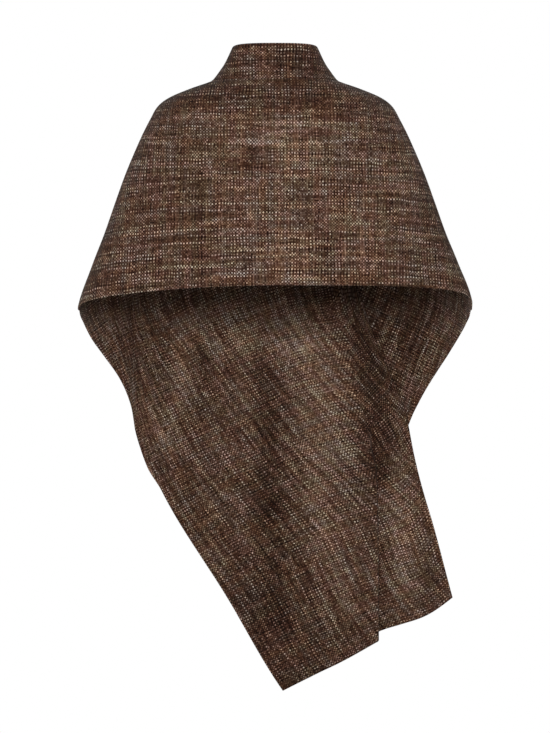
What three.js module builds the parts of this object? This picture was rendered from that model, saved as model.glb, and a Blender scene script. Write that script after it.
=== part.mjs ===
// A wrap cape of coarse brown tweed, in the form that it keeps when it is worn, with no wearer.
// Units are millimetres, Z is up, the front faces -Y and the wearer's left is +X.
// The origin is the middle of the neck, level with the seam that joins the collar to the back.
import * as THREE from 'three';

// Cloth
const CLOTH_THICKNESS = 2.4;
const COLLAR_THICKNESS = 3.6;
const SEAM_GAP = 0.3;

// Rings round the cape from the collar's top edge down to the long front's lowest corner.
// level is the place down the cape, and 0 is the neck seam. halfWidth, back and front are the
// ring's reach from the middle, zBack, zSide and zFront its heights there. square is 2 for an
// ellipse and more for a squarer ring, and squareRight is the same for the back's right half.
const RINGS = tableOf([
  'level', 'halfWidth', 'back', 'front', 'zBack', 'zSide', 'zFront', 'square', 'squareRight',
], [
  [-66, 72, 62, 58, 62, 56, 4, 2.8, 2.8],
  [-45, 82.5, 64, 63, 42, 35, -18, 2.5, 2.5],
  [-22, 94, 68, 68, 20, 20, -45, 2.3, 2.3],
  [-8, 103, 72, 74, 7, 8, -64, 2.2, 2.2],
  [0, 110, 75, 78, 0, 2, -75, 2.1, 2.1],
  [15, 145, 83, 88, -19, -10, -95, 2.1, 2.1],
  [35, 181, 90, 99, -42, -25, -117, 2.15, 2.15],
  [55, 201, 95, 108, -63, -40, -136, 2.2, 2.2],
  [80, 214, 100, 117, -87, -62, -156, 2.25, 2.25],
  [110, 230, 104, 126, -115, -94, -178, 2.3, 2.35],
  [150, 254, 108, 136, -150, -150, -208, 2.3, 2.4],
  [205, 274, 112, 146, -198, -205, -248, 2.3, 2.5],
  [260, 293, 114, 151, -246, -260, -291, 2.3, 2.6],
  [315, 314, 116, 152, -293, -315, -334, 2.3, 2.7],
  [391, 339, 117, 150, -352, -391, -396, 2.4, 2.8],
  [460, 343, 117, 147, -424, -460, -460, 2.4, 2.8],
  [540, 346, 117, 142, -504, -540, -540, 2.4, 2.8],
  [650, 362, 117, 136, -614, -650, -650, 2.3, 2.8],
  [780, 412, 117, 128, -744, -780, -780, 2.2, 2.8],
  [920, 478, 117, 121, -884, -920, -920, 2.1, 2.8],
  [1070, 550, 117, 116, -1034, -1070, -1070, 2.0, 2.8],
]);

// Seams, as angles round the cape: 0 is the middle of the front, 90 the wearer's left side
const OVERARM_ANGLE = 84;
const FRONT_LAP_ANGLE = 18;
const COLLAR_TOP = -66;
const NECK_SEAM = 0;
const HEM_LEVEL = 391;

// How the mesh rows close up towards the shoulder, where the cape bends most
const SHOULDER_CLOSENESS = 1.25;

// How a ring climbs from its side height to its middle height. SOFT_CLIMB is the power of a slow
// start. The back's hem and the collar's top leave the side at once instead, and a higher power
// brings them to the middle height sooner.
const SOFT_CLIMB = 1.7;
const HEM_CLIMB_LEFT = 0.85;
const HEM_CLIMB_RIGHT = 1.9;
const COLLAR_CLIMB = 3.5;
const HEM_CLIMB_STARTS = 150;

// How far the right front and the collar's right end stand out over the left ones, between
// which levels that grows, and at which angles it starts and is full
const LAP_AT_NECK = 6;
const LAP_BELOW = 9;
const LAP_LEVELS = [60, 400];
const LAP_ANGLES = [-72, -40];

// Long left front: points of its edges, x across and z up, from the neck or side to the hem
const LEFT_LOWER_EDGE = [
  [338, -399], [333, -414], [320, -442], [299, -473], [275, -509], [256, -555], [246, -609],
  [227, -666], [202, -708], [93, -886], [-14, -1064],
];
const LEFT_FREE_EDGE = [
  [-66, -150], [-110, -250], [-147, -352], [-175, -429], [-214, -522], [-237, -592],
  [-277, -750], [-315, -895],
];
const LEFT_HEM = [
  [-14, -1064], [-100, -1019], [-178, -969], [-224, -949], [-268, -929], [-315, -895],
];

// Short right front
const RIGHT_LOWER_EDGE = [
  [-338, -399], [-333, -414], [-318, -442], [-293, -482], [-267, -524], [-245, -566],
  [-226, -610], [-98, -790],
];
const RIGHT_FREE_EDGE = [[66, -150], [108, -250], [147, -352], [178, -440], [222, -603]];
const RIGHT_HEM = [[-98, -790], [62, -694], [222, -603]];

// The pleat that stands up from the long front's hem, where one layer folds over the next: the
// line that it follows, x across and z up, the levels where it starts and is full, the radius of
// its two bends, the flat stretch between them, and how far from it the cloth is still lifted
const PLEAT_LINE = [[-178, -1100], [-178, -680], [-172, -619], [-160, -540], [-150, -480]];
const PLEAT_LEVELS = [570, 685];
const PLEAT_BEND = 2.4;
const PLEAT_FLAT = 6.6;
const PLEAT_REACH = 110;

// Where the pleat's mesh columns run above it, as shares of a row's way from the lower edge to
// the free edge, at the neck and from PLEAT_SETTLED of the way down
const PLEAT_SHARE_AT_NECK = 0.84;
const PLEAT_SHARE_BELOW = 0.96;
const PLEAT_LEAST_SHARE = 0.3;
const PLEAT_SETTLED = 0.4;
const PLAIN_ROW_WIDTH = 600;

// Soft folds: a line from its top to its bottom, how wide it is to the wearer's left and right
// of that, and how far it stands in towards the wearer, or out where depth is negative
const FOLD_COLUMNS = ['xTop', 'zTop', 'xBottom', 'zBottom', 'left', 'right', 'depth'];
const LEFT_FOLDS = tableOf(FOLD_COLUMNS, [
  [-124, -340, -186, -680, 75, 34, 20],
  [-182, -660, -182, -1100, 85, 220, 12],
  [41, -360, 45, -780, 60, 24, 9],
  [50, -800, 58, -1000, 40, 46, 9],
  [132, -400, 188, -600, 18, 40, 7],
]);
const RIGHT_FOLDS = tableOf(FOLD_COLUMNS, [
  [-252, -330, -200, -640, 40, 26, -5],
  [-60, -300, 10, -700, 30, 50, -7],
  [90, -330, 130, -620, 26, 38, -5],
]);
const BACK_FOLDS = tableOf(FOLD_COLUMNS, [
  [128, -120, 134, -360, 26, 26, -4],
  [-112, -130, -118, -330, 24, 24, -3],
  [-248, -170, -262, -360, 24, 24, 5],
]);

// How far a fold's ends fade, the levels over which all folds grow below the shoulders, and the
// cosine of the angle from a side seam at which they are full
const FOLD_FADE = 70;
const FOLD_LEVELS = [90, 240];
const FOLD_SEAM_COSINE = 0.35;

// Mesh steps
const BACK_ACROSS = 34;
const SEAM_STEPS = 14;
const LEFT_NEAR_STEPS = 20;
const LEFT_FAR_STEPS = 9;
const LEFT_DOWN = 32;
const PLEAT_ARC_STEPS = 4;
const RIGHT_ACROSS = 24;
const RIGHT_DOWN = 20;
const COLLAR_UP = 5;

// Within this many degrees of an overarm seam, the collar has the seam's own mesh column
const SEAM_NEARNESS = 1;

// Finish
const TWEED = 0x503c30;
const COLLAR_TWEED = 0x4a382e;
const ROUGHNESS = 0.95;

const RADIAN = Math.PI / 180;

// Small steps for slopes and directions, and rounds of the searches
const SMALL_ANGLE = 0.2;
const SMALL_LEVEL = 0.5;
const SMALL_SHARE = 0.01;
const SEARCH_ROUNDS = 30;

// Turns a table's rows into records with its columns' names
function tableOf(columns, rows) {
  return rows.map((row) => Object.fromEntries(columns.map((name, i) => [name, row[i]])));
}

// A number that runs smoothly from 0 to 1 as x goes from a to b
function ease(a, b, x) {
  const t = Math.min(Math.max((x - a) / (b - a), 0), 1);
  return t * t * (3 - 2 * t);
}

// A smooth curve through values at places: cubic pieces, sloped by their neighbours
function smoothThrough(places, values) {
  const last = places.length - 1;
  const slope = (i) => {
    const before = Math.max(i - 1, 0);
    const after = Math.min(i + 1, last);
    return (values[after] - values[before]) / (places[after] - places[before]);
  };
  return (at) => {
    let i = 0;
    while (i < last - 1 && places[i + 1] < at) i += 1;
    const span = places[i + 1] - places[i];
    const t = (at - places[i]) / span;
    const rise = t * t * (3 - 2 * t);
    const fromStart = span * slope(i) * t * (1 - t) * (1 - t);
    const fromEnd = span * slope(i + 1) * t * t * (t - 1);
    return values[i] * (1 - rise) + values[i + 1] * rise + fromStart + fromEnd;
  };
}

// One smooth function of level for each column of the rings
function ringFunctions() {
  const levels = RINGS.map((row) => row.level);
  const functions = {};
  for (const name of Object.keys(RINGS[0])) {
    functions[name] = smoothThrough(levels, RINGS.map((row) => row[name]));
  }
  return functions;
}
const ring = ringFunctions();

// How much of the way from its side height to its middle height a ring has come, where away is
// 0 at the side and 1 in the middle of the back or front
function ringClimb(angle, level, away) {
  const soft = away ** SOFT_CLIMB;
  if (Math.cos(angle) > 0) return soft;
  const hemClimb = Math.sin(angle) > 0 ? HEM_CLIMB_LEFT : HEM_CLIMB_RIGHT;
  const climb = level > NECK_SEAM ? hemClimb : COLLAR_CLIMB;
  const atOnce = 1 - (1 - away) ** climb;
  const share = ease(HEM_CLIMB_STARTS, HEM_LEVEL, level) + ease(NECK_SEAM, COLLAR_TOP, level);
  return soft + (atOnce - soft) * share;
}

// A point on the cape's plain form, before folds
function bodyPoint(angleDegrees, level) {
  const angle = angleDegrees * RADIAN;
  const s = Math.sin(angle);
  const c = Math.cos(angle);
  const isFront = c > 0;
  const square = !isFront && s < 0 ? ring.squareRight(level) : ring.square(level);
  const size = (Math.abs(s) ** square + Math.abs(c) ** square) ** (1 / square);
  const depth = isFront ? ring.front(level) : ring.back(level);
  const zMiddle = isFront ? ring.zFront(level) : ring.zBack(level);
  const zSide = ring.zSide(level);
  const z = zSide + (zMiddle - zSide) * ringClimb(angle, level, Math.abs(c));
  return new THREE.Vector3((ring.halfWidth(level) * s) / size, (-depth * c) / size, z);
}

// The direction out of a surface, given as a function of angle and level
function outward(surface, angle, level) {
  const round = surface(angle + SMALL_ANGLE, level).sub(surface(angle - SMALL_ANGLE, level));
  const down = surface(angle, level + SMALL_LEVEL).sub(surface(angle, level - SMALL_LEVEL));
  return down.cross(round).normalize();
}

// The angle and level of the front's point that shows at x and z
function frontPlace(x, z) {
  let level = -z;
  let angle = 0;
  for (let i = 0; i < SEARCH_ROUNDS; i += 1) {
    const share = Math.min(Math.abs(x) / ring.halfWidth(level), 1);
    const square = ring.square(level);
    const forward = (1 - share ** square) ** (1 / square);
    angle = (Math.sign(x) * Math.atan2(share, forward)) / RADIAN;
    level += bodyPoint(angle, level).z - z;
  }
  return { angle, level };
}

// How far a set of folds moves the point at x and z in towards the wearer
function foldDepth(folds, x, z) {
  let total = 0;
  for (const { xTop, zTop, xBottom, zBottom, left, right, depth } of folds) {
    const down = (zTop - z) / (zTop - zBottom);
    const aside = x - (xTop + (xBottom - xTop) * down);
    const across = aside / (aside > 0 ? left : right);
    const start = ease(zTop + FOLD_FADE, zTop - FOLD_FADE, z);
    const end = ease(zBottom - FOLD_FADE, zBottom + FOLD_FADE, z);
    total += depth * Math.exp(-across * across) * start * end;
  }
  return total;
}

// The cape's form with a set of folds, which die away towards the shoulders and the side seams
function foldedPoint(folds, angle, level) {
  const point = bodyPoint(angle, level);
  const awayFromSeam = ease(0, FOLD_SEAM_COSINE, Math.abs(Math.cos(angle * RADIAN)));
  const share = ease(...FOLD_LEVELS, level) * awayFromSeam;
  const depth = share * foldDepth(folds, point.x, point.z);
  return point.addScaledVector(outward(bodyPoint, angle, level), -depth);
}

// How far the right-hand side of the wrap stands out over the left
function lapOut(angle, level) {
  const lap = LAP_AT_NECK + (LAP_BELOW - LAP_AT_NECK) * ease(...LAP_LEVELS, level);
  return lap * ease(...LAP_ANGLES, angle);
}

// The right front lies on the left one, so it takes its folds, and has its own beside it
function rightPoint(angle, level) {
  const point = foldedPoint([...LEFT_FOLDS, ...RIGHT_FOLDS], angle, level);
  return point.addScaledVector(outward(bodyPoint, angle, level), lapOut(angle, level));
}

// The same place a small distance further down or round the cape
function stepDown(place, distance) {
  const here = bodyPoint(place.angle, place.level);
  const scale = here.distanceTo(bodyPoint(place.angle, place.level + 1));
  return { angle: place.angle, level: place.level + distance / scale };
}
function stepRound(place, distance) {
  const here = bodyPoint(place.angle, place.level);
  const scale = here.distanceTo(bodyPoint(place.angle + 1, place.level));
  return { angle: place.angle + distance / scale, level: place.level };
}

// The levels of the mesh rows down the side seams, at a share of the way from neck to hem
function seamLevel(share) {
  return HEM_LEVEL * share ** SHOULDER_CLOSENESS;
}

// A smooth edge through places, followed evenly as t goes from 0 to 1
function edgeThrough(places) {
  const spots = places.map((place) => bodyPoint(place.angle, place.level));
  const lengths = [0];
  for (let i = 1; i < spots.length; i += 1) {
    lengths.push(lengths[i - 1] + spots[i].distanceTo(spots[i - 1]));
  }
  const shares = lengths.map((length) => length / lengths[lengths.length - 1]);
  const angle = smoothThrough(shares, places.map((place) => place.angle));
  const level = smoothThrough(shares, places.map((place) => place.level));
  return (t) => ({ angle: angle(t), level: level(t) });
}

// A front panel as a patch between its four edges. across goes from the lower edge to the free
// front edge, and down goes from the seams at the side, shoulder and neck to the hem.
function frontPatch(side, lowerEdge, freeEdge, hemEdge, neckShare) {
  const half = SEAM_GAP / 2;
  const seamPlace = (level) => stepRound({ angle: side * OVERARM_ANGLE, level }, -side * half);
  const start = (across) => {
    if (across <= neckShare) {
      const share = across / neckShare;
      const place = seamPlace(seamLevel(1 - share));
      return share < 1 ? place : stepDown(place, half);
    }
    const share = (across - neckShare) / (1 - neckShare);
    const fromAngle = seamPlace(NECK_SEAM).angle;
    const angle = fromAngle + (-side * FRONT_LAP_ANGLE - fromAngle) * share;
    return stepDown({ angle, level: NECK_SEAM }, half);
  };
  const places = (points) => points.map(([x, z]) => frontPlace(x, z));
  const lower = edgeThrough([start(0), ...places(lowerEdge)]);
  const free = edgeThrough([start(1), ...places(freeEdge)]);
  const hem = edgeThrough(places(hemEdge));
  return (across, down) => {
    const a = start(across);
    const b = hem(across);
    const c = lower(down);
    const d = free(down);
    const mix = (key) => (1 - down) * a[key] + down * b[key]
      + (1 - across) * (c[key] - (1 - down) * start(0)[key] - down * hem(0)[key])
      + across * (d[key] - (1 - down) * start(1)[key] - down * hem(1)[key]);
    return { angle: mix('angle'), level: mix('level') };
  };
}

// A closed wall from a grid of middle points and the directions out of the cloth there
function wallGeometry(grid, thickness) {
  const rows = grid.length;
  const columns = grid[0].length;
  const positions = [];
  for (const side of [0.5, -0.5]) {
    for (const row of grid) {
      for (const { point, out } of row) {
        const moved = point.clone().addScaledVector(out, side * thickness);
        positions.push(moved.x, moved.y, moved.z);
      }
    }
  }
  const inner = rows * columns;
  const at = (row, column) => row * columns + column;
  const indices = [];
  const quad = (a, b, c, d) => indices.push(a, b, c, a, c, d);
  for (let row = 0; row < rows - 1; row += 1) {
    for (let column = 0; column < columns - 1; column += 1) {
      const a = at(row, column);
      const b = at(row + 1, column);
      const c = at(row + 1, column + 1);
      const d = at(row, column + 1);
      quad(a, b, c, d);
      quad(inner + a, inner + d, inner + c, inner + b);
    }
  }
  const rim = (a, b) => quad(a, inner + a, inner + b, b);
  for (let row = 0; row < rows - 1; row += 1) {
    rim(at(row, 0), at(row + 1, 0));
    rim(at(row + 1, columns - 1), at(row, columns - 1));
  }
  for (let column = 0; column < columns - 1; column += 1) {
    rim(at(0, column + 1), at(0, column));
    rim(at(rows - 1, column), at(rows - 1, column + 1));
  }
  const geometry = new THREE.BufferGeometry();
  geometry.setAttribute('position', new THREE.Float32BufferAttribute(positions, 3));
  geometry.setIndex(indices);
  geometry.computeVertexNormals();
  return geometry;
}

// A grid point on a surface
function onSurface(surface, place) {
  const point = surface(place.angle, place.level);
  return { point, out: outward(surface, place.angle, place.level), angle: place.angle };
}

// The back: from overarm seam to overarm seam, and from the neck seam to the hem
function backGrid() {
  const half = SEAM_GAP / 2;
  const surface = (angle, level) => foldedPoint(BACK_FOLDS, angle, level);
  const grid = [];
  for (let row = 0; row <= SEAM_STEPS; row += 1) {
    const level = seamLevel(row / SEAM_STEPS);
    const from = stepRound({ angle: OVERARM_ANGLE, level }, half).angle;
    const to = stepRound({ angle: 360 - OVERARM_ANGLE, level }, -half).angle;
    const line = [];
    for (let column = 0; column <= BACK_ACROSS; column += 1) {
      const angle = from + ((to - from) * column) / BACK_ACROSS;
      const place = { angle, level };
      line.push(onSurface(surface, row === 0 ? stepDown(place, half) : place));
    }
    grid.push(line);
  }
  return grid;
}

// The pleat's section: points along the row and out of it, from the near layer to the far one,
// with the angle that the cloth has turned through. Nothing turns where strength is 0.
function pleatSection(strength) {
  const turnTotal = Math.PI * strength;
  const arcStep = (Math.PI * PLEAT_BEND) / PLEAT_ARC_STEPS;
  const turnStep = turnTotal / PLEAT_ARC_STEPS;
  const points = [{ along: 0, lift: 0, turn: 0, walked: 0 }];
  const walk = (length, turning) => {
    const last = points[points.length - 1];
    const middle = last.turn + turning / 2;
    points.push({
      along: last.along + length * Math.cos(middle),
      lift: last.lift - length * Math.sin(middle),
      turn: last.turn + turning,
      walked: last.walked + length,
    });
  };
  for (let i = 0; i < PLEAT_ARC_STEPS; i += 1) walk(arcStep, turnStep);
  walk(PLEAT_FLAT, 0);
  for (let i = 0; i < PLEAT_ARC_STEPS; i += 1) walk(arcStep, -turnStep);
  const end = points[points.length - 1];
  return points.map((point) => ({
    along: point.along - end.along / 2,
    lift: point.lift - end.lift,
    turn: point.turn,
    walked: point.walked - end.walked / 2,
  }));
}

function pleatLineX(z) {
  const zs = PLEAT_LINE.map((row) => row[1]);
  const xs = PLEAT_LINE.map((row) => row[0]);
  return smoothThrough(zs, xs)(z);
}

// How much of the pleat there is at a level, from 0 above it to 1
function pleatStrength(level) {
  return ease(...PLEAT_LEVELS, level);
}

// One side of the pleat: the near layer is lifted in towards the wearer, and each layer's rows
// slide down or up as the cloth folds
function besidePleat(isNear, slope) {
  return (angle, level) => {
    const point = foldedPoint(LEFT_FOLDS, angle, level);
    const start = pleatSection(pleatStrength(level))[0];
    const distance = Math.abs(point.x - pleatLineX(point.z));
    const share = 1 - ease(0, PLEAT_REACH, distance);
    const slide = slope * (start.along - start.walked);
    point.z += (isNear ? -1 : 1) * slide * share;
    const lift = isNear ? start.lift * share : 0;
    return point.addScaledVector(outward(bodyPoint, angle, level), -lift);
  };
}

// Where a row of the left front meets the pleat's line
function pleatAcross(patch, down) {
  const settled = ease(0, PLEAT_SETTLED, down);
  let low = PLEAT_LEAST_SHARE;
  let high = PLEAT_SHARE_AT_NECK + (PLEAT_SHARE_BELOW - PLEAT_SHARE_AT_NECK) * settled;
  for (let i = 0; i < SEARCH_ROUNDS; i += 1) {
    const middle = (low + high) / 2;
    const place = patch(middle, down);
    const point = bodyPoint(place.angle, place.level);
    if (point.x > pleatLineX(point.z)) low = middle;
    else high = middle;
  }
  return (low + high) / 2;
}

// One row of the left front: the near layer, the pleat and the far layer
function leftRow(patch, down) {
  const across = pleatAcross(patch, down);
  const place = patch(across, down);
  const plain = (angle, level) => foldedPoint(LEFT_FOLDS, angle, level);
  const middle = plain(place.angle, place.level);
  const before = patch(across - SMALL_SHARE, down);
  const after = patch(across + SMALL_SHARE, down);
  const rowStep = plain(after.angle, after.level).sub(plain(before.angle, before.level));
  const sideways = new THREE.Vector3(rowStep.x, rowStep.y, 0);
  const slope = rowStep.z / sideways.length();
  const perAcross = sideways.length() / (2 * SMALL_SHARE);
  sideways.normalize();
  const inward = new THREE.Vector3(sideways.y, -sideways.x, 0);
  const strength = pleatStrength(place.level);
  const section = pleatSection(strength);
  const rowWidth = strength === 0 ? PLAIN_ROW_WIDTH : perAcross;
  const nearEnd = across + section[0].along / rowWidth;
  const farStart = across - section[0].along / rowWidth;
  const near = besidePleat(true, slope);
  const far = besidePleat(false, slope);
  const row = [];
  for (let i = 0; i < LEFT_NEAR_STEPS; i += 1) {
    row.push(onSurface(near, patch((nearEnd * i) / LEFT_NEAR_STEPS, down)));
  }
  for (const { along, lift, turn, walked } of section) {
    if (strength === 0) {
      row.push(onSurface(far, patch(across + along / rowWidth, down)));
      continue;
    }
    const point = middle.clone().addScaledVector(sideways, along).addScaledVector(inward, lift);
    point.z += slope * walked;
    const out = inward.clone().multiplyScalar(-Math.cos(turn));
    out.addScaledVector(sideways, -Math.sin(turn));
    row.push({ point, out });
  }
  for (let i = 1; i <= LEFT_FAR_STEPS; i += 1) {
    const share = i / LEFT_FAR_STEPS;
    row.push(onSurface(far, patch(farStart + (1 - farStart) * share, down)));
  }
  return row.reverse();
}

function leftFrontGrid() {
  const nearEnd = PLEAT_SHARE_AT_NECK + pleatSection(0)[0].along / PLAIN_ROW_WIDTH;
  const neckShare = (nearEnd * SEAM_STEPS) / LEFT_NEAR_STEPS;
  const patch = frontPatch(1, LEFT_LOWER_EDGE, LEFT_FREE_EDGE, LEFT_HEM, neckShare);
  const grid = [];
  for (let row = 0; row <= LEFT_DOWN; row += 1) grid.push(leftRow(patch, row / LEFT_DOWN));
  return grid;
}

function rightFrontGrid() {
  const neckShare = SEAM_STEPS / RIGHT_ACROSS;
  const patch = frontPatch(-1, RIGHT_LOWER_EDGE, RIGHT_FREE_EDGE, RIGHT_HEM, neckShare);
  const grid = [];
  for (let row = 0; row <= RIGHT_DOWN; row += 1) {
    const line = [];
    for (let column = 0; column <= RIGHT_ACROSS; column += 1) {
      line.push(onSurface(rightPoint, patch(column / RIGHT_ACROSS, row / RIGHT_DOWN)));
    }
    grid.push(line);
  }
  return grid;
}

// The collar: once round the neck and past itself, with the right end over the left. Its
// mesh columns are those of the pieces that it is sewn to.
function collarGrid(back, left, right) {
  const half = SEAM_GAP / 2;
  const overRight = 360 - OVERARM_ANGLE;
  const angles = [
    ...left[0].map((spot) => spot.angle).filter((angle) => angle < OVERARM_ANGLE - SEAM_NEARNESS),
    OVERARM_ANGLE,
    ...back[0].slice(1, -1).map((spot) => spot.angle),
    overRight,
    ...right[0].map((spot) => spot.angle + 360).filter((angle) => angle > overRight + SEAM_NEARNESS),
  ];
  const surface = (angle, level) => {
    const lap = lapOut(angle - 360, level);
    return bodyPoint(angle, level).addScaledVector(outward(bodyPoint, angle, level), lap);
  };
  const grid = [];
  for (let row = 0; row <= COLLAR_UP; row += 1) {
    const level = COLLAR_TOP * (1 - row / COLLAR_UP);
    grid.push(angles.map((angle) => {
      const place = { angle, level };
      return onSurface(surface, row === COLLAR_UP ? stepDown(place, -half) : place);
    }));
  }
  return grid;
}

function clothPiece(name, grid, thickness, color) {
  const material = new THREE.MeshStandardMaterial({ color, roughness: ROUGHNESS, metalness: 0 });
  const mesh = new THREE.Mesh(wallGeometry(grid, thickness), material);
  mesh.name = name;
  return mesh;
}

const backPanel = backGrid();
const leftFront = leftFrontGrid();
const rightFront = rightFrontGrid();
const collar = collarGrid(backPanel, leftFront, rightFront);

const cape = new THREE.Group();
cape.add(clothPiece('back', backPanel, CLOTH_THICKNESS, TWEED));
cape.add(clothPiece('front_left', leftFront, CLOTH_THICKNESS, TWEED));
cape.add(clothPiece('front_right', rightFront, CLOTH_THICKNESS, TWEED));
cape.add(clothPiece('collar', collar, COLLAR_THICKNESS, COLLAR_TWEED));
export default cape;
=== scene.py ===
"""A wrap cape of coarse brown tweed, worn with no wearer and seen from behind.

The cape's form is worked out in millimetres from the same sizes as its cut, and turns into
metres where a mesh is made. Z is up, the front faces -Y and the wearer's left is +X.
"""

import math

import bpy
import numpy as np
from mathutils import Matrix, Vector


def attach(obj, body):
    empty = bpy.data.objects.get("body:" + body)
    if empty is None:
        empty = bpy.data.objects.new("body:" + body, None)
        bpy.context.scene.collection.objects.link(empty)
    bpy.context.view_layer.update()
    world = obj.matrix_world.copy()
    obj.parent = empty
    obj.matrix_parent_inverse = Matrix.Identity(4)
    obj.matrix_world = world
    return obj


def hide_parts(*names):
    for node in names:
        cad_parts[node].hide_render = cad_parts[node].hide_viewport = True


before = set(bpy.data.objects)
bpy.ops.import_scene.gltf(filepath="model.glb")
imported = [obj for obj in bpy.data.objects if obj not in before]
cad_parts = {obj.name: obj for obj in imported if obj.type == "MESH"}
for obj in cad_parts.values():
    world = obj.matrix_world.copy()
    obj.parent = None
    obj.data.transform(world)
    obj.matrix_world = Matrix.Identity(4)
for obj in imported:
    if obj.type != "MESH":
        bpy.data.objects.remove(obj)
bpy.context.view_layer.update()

MM = 0.001


def linear(red, green, blue):
    """A screen colour from 0 to 255, as the linear colour that shaders take."""

    def channel(value):
        share = value / 255
        return share / 12.92 if share <= 0.04045 else ((share + 0.055) / 1.055) ** 2.4

    return (channel(red), channel(green), channel(blue), 1.0)


# Camera, in metres: it looks along -Y, and its picture is VIEW_HEIGHT high at the neck
SENSOR = 36.0
CAMERA_DISTANCE = 4.0
CAMERA_HEIGHT = -0.488
VIEW_HEIGHT = 1.265
CAMERA_REACH = 30.0

# Studio, in metres and watts. The floor is a disc that fades out towards its rim
FLOOR_HEIGHT = -1.5
FLOOR_RADIUS = 2.1
FLOOR_SIDES = 96
FLOOR_FADES_FROM = 1.0
FLOOR_GONE_BY = 0.98 * FLOOR_RADIUS
PALE = (0.85, 0.85, 0.84, 1.0)
BACKGROUND = 1.0
DAYLIGHT = 0.2
LIGHTS = [
    {"name": "key", "place": (0.1, 1.65, -0.02), "size": 0.6, "power": 28},
    {"name": "left", "place": (2.3, 0.8, 0.1), "size": 1.0, "power": 9},
    {"name": "right", "place": (-2.4, 0.4, 0.1), "size": 1.2, "power": 10},
    {"name": "front", "place": (-0.4, -2.2, 0.1), "size": 1.2, "power": 48},
]
LIGHT_TARGET = (0, 0, -0.5)

# Yarn colours from the darkest fibres to the palest slubs
YARN_TONES = [
    (0.0, linear(22, 9, 4)),
    (0.3, linear(58, 37, 26)),
    (0.55, linear(93, 71, 57)),
    (0.8, linear(136, 114, 99)),
    (1.0, linear(174, 153, 137)),
]

# What dyed patches multiply them by: from blue-grey to rust, and from slate to ochre
GREY_TINT = (0.94, 1.05, 1.06, 1.0)
RUST_TINT = (1.06, 0.92, 0.89, 1.0)
SLATE_TINT = (0.97, 0.97, 1.07, 1.0)
OCHRE_TINT = (1.02, 1.02, 0.9, 1.0)

# A dyed patch, in metres: its length along its yarns, and across them. Its noise goes over from
# one tint to the other between the two values of PATCH_NOISE
PATCH_SIZE = (0.09, 0.013)
PATCH_NOISE = (0.38, 0.62)
REDNESS_SEED = 3.0
YELLOWNESS_SEED = 57.0

# How a yarn's tone varies along it: long dyed stretches and short slubs, each yarn on its own,
# and long stretches that BATCH_YARNS neighbours share. length is a bump's length in metres, and
# step is how far apart neighbouring yarns are in the noise
BATCH_YARNS = 3.5
YARN_VARIATIONS = [
    {"length": 0.09, "step": 7.31, "detail": 1.0, "seed": 0.0, "amount": 1.5},
    {"length": 0.008, "step": 5.17, "detail": 2.0, "seed": 40.0, "amount": 2.2},
    {"length": 0.09, "step": 1 / BATCH_YARNS, "detail": 1.0, "seed": 80.0, "amount": 1.0},
]
WEFT_SEED = 0.0
WARP_SEED = 9.0

# How pale the yarns are, from 0 to 1: the tweed's on the whole, the collar's, which is lower as
# painted shade, and how much paler the weft and darker the warp is than that
TWEED_PALENESS = 0.42
COLLAR_SHADED_PALENESS = 0.34
WEFT_PALER = 0.15

# How much paler, then darker, the wefts are by turns, twice as much as the warps. Then how
# strongly the tone varies along a weft and along a warp
ROW_CONTRAST = 0.12
WEFT_CONTRAST = 0.76
WARP_CONTRAST = 0.44

# Painted shade deep in the gaps between yarns and painted light up on their crowns: what the
# colour is multiplied by there, and the heights at which those two set in
GAP_PAINTED_SHADE = (0.16, 0.075, 0.06, 1.0)
CROWN_PAINTED_LIGHT = (1.15, 1.17, 1.18, 1.0)
SHADE_HEIGHTS = (0.05, 0.85)

# Finish of the wool. BUMP_DISTANCE is in metres
ROUGHNESS = 0.95
SPECULAR = 0.08
SHEEN = 0.05
SHEEN_ROUGHNESS = 0.5
BUMP_STRENGTH = 0.7
BUMP_DISTANCE = 0.0009

# Cloth, in millimetres
CLOTH_THICKNESS = 2.4
COLLAR_THICKNESS = 3.6
YARN_PITCH = 2.65

# The share of a yarn's height that comes from riding over and under the others, and how softly
# it meets them
YARN_RIDE = 0.55
YARN_MEETS = 0.12

# The yarns wander in bumps this long, in metres, each way by up to half this many pitches
WANDER_LENGTH = 0.02
WANDER_YARNS = 1.6

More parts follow.
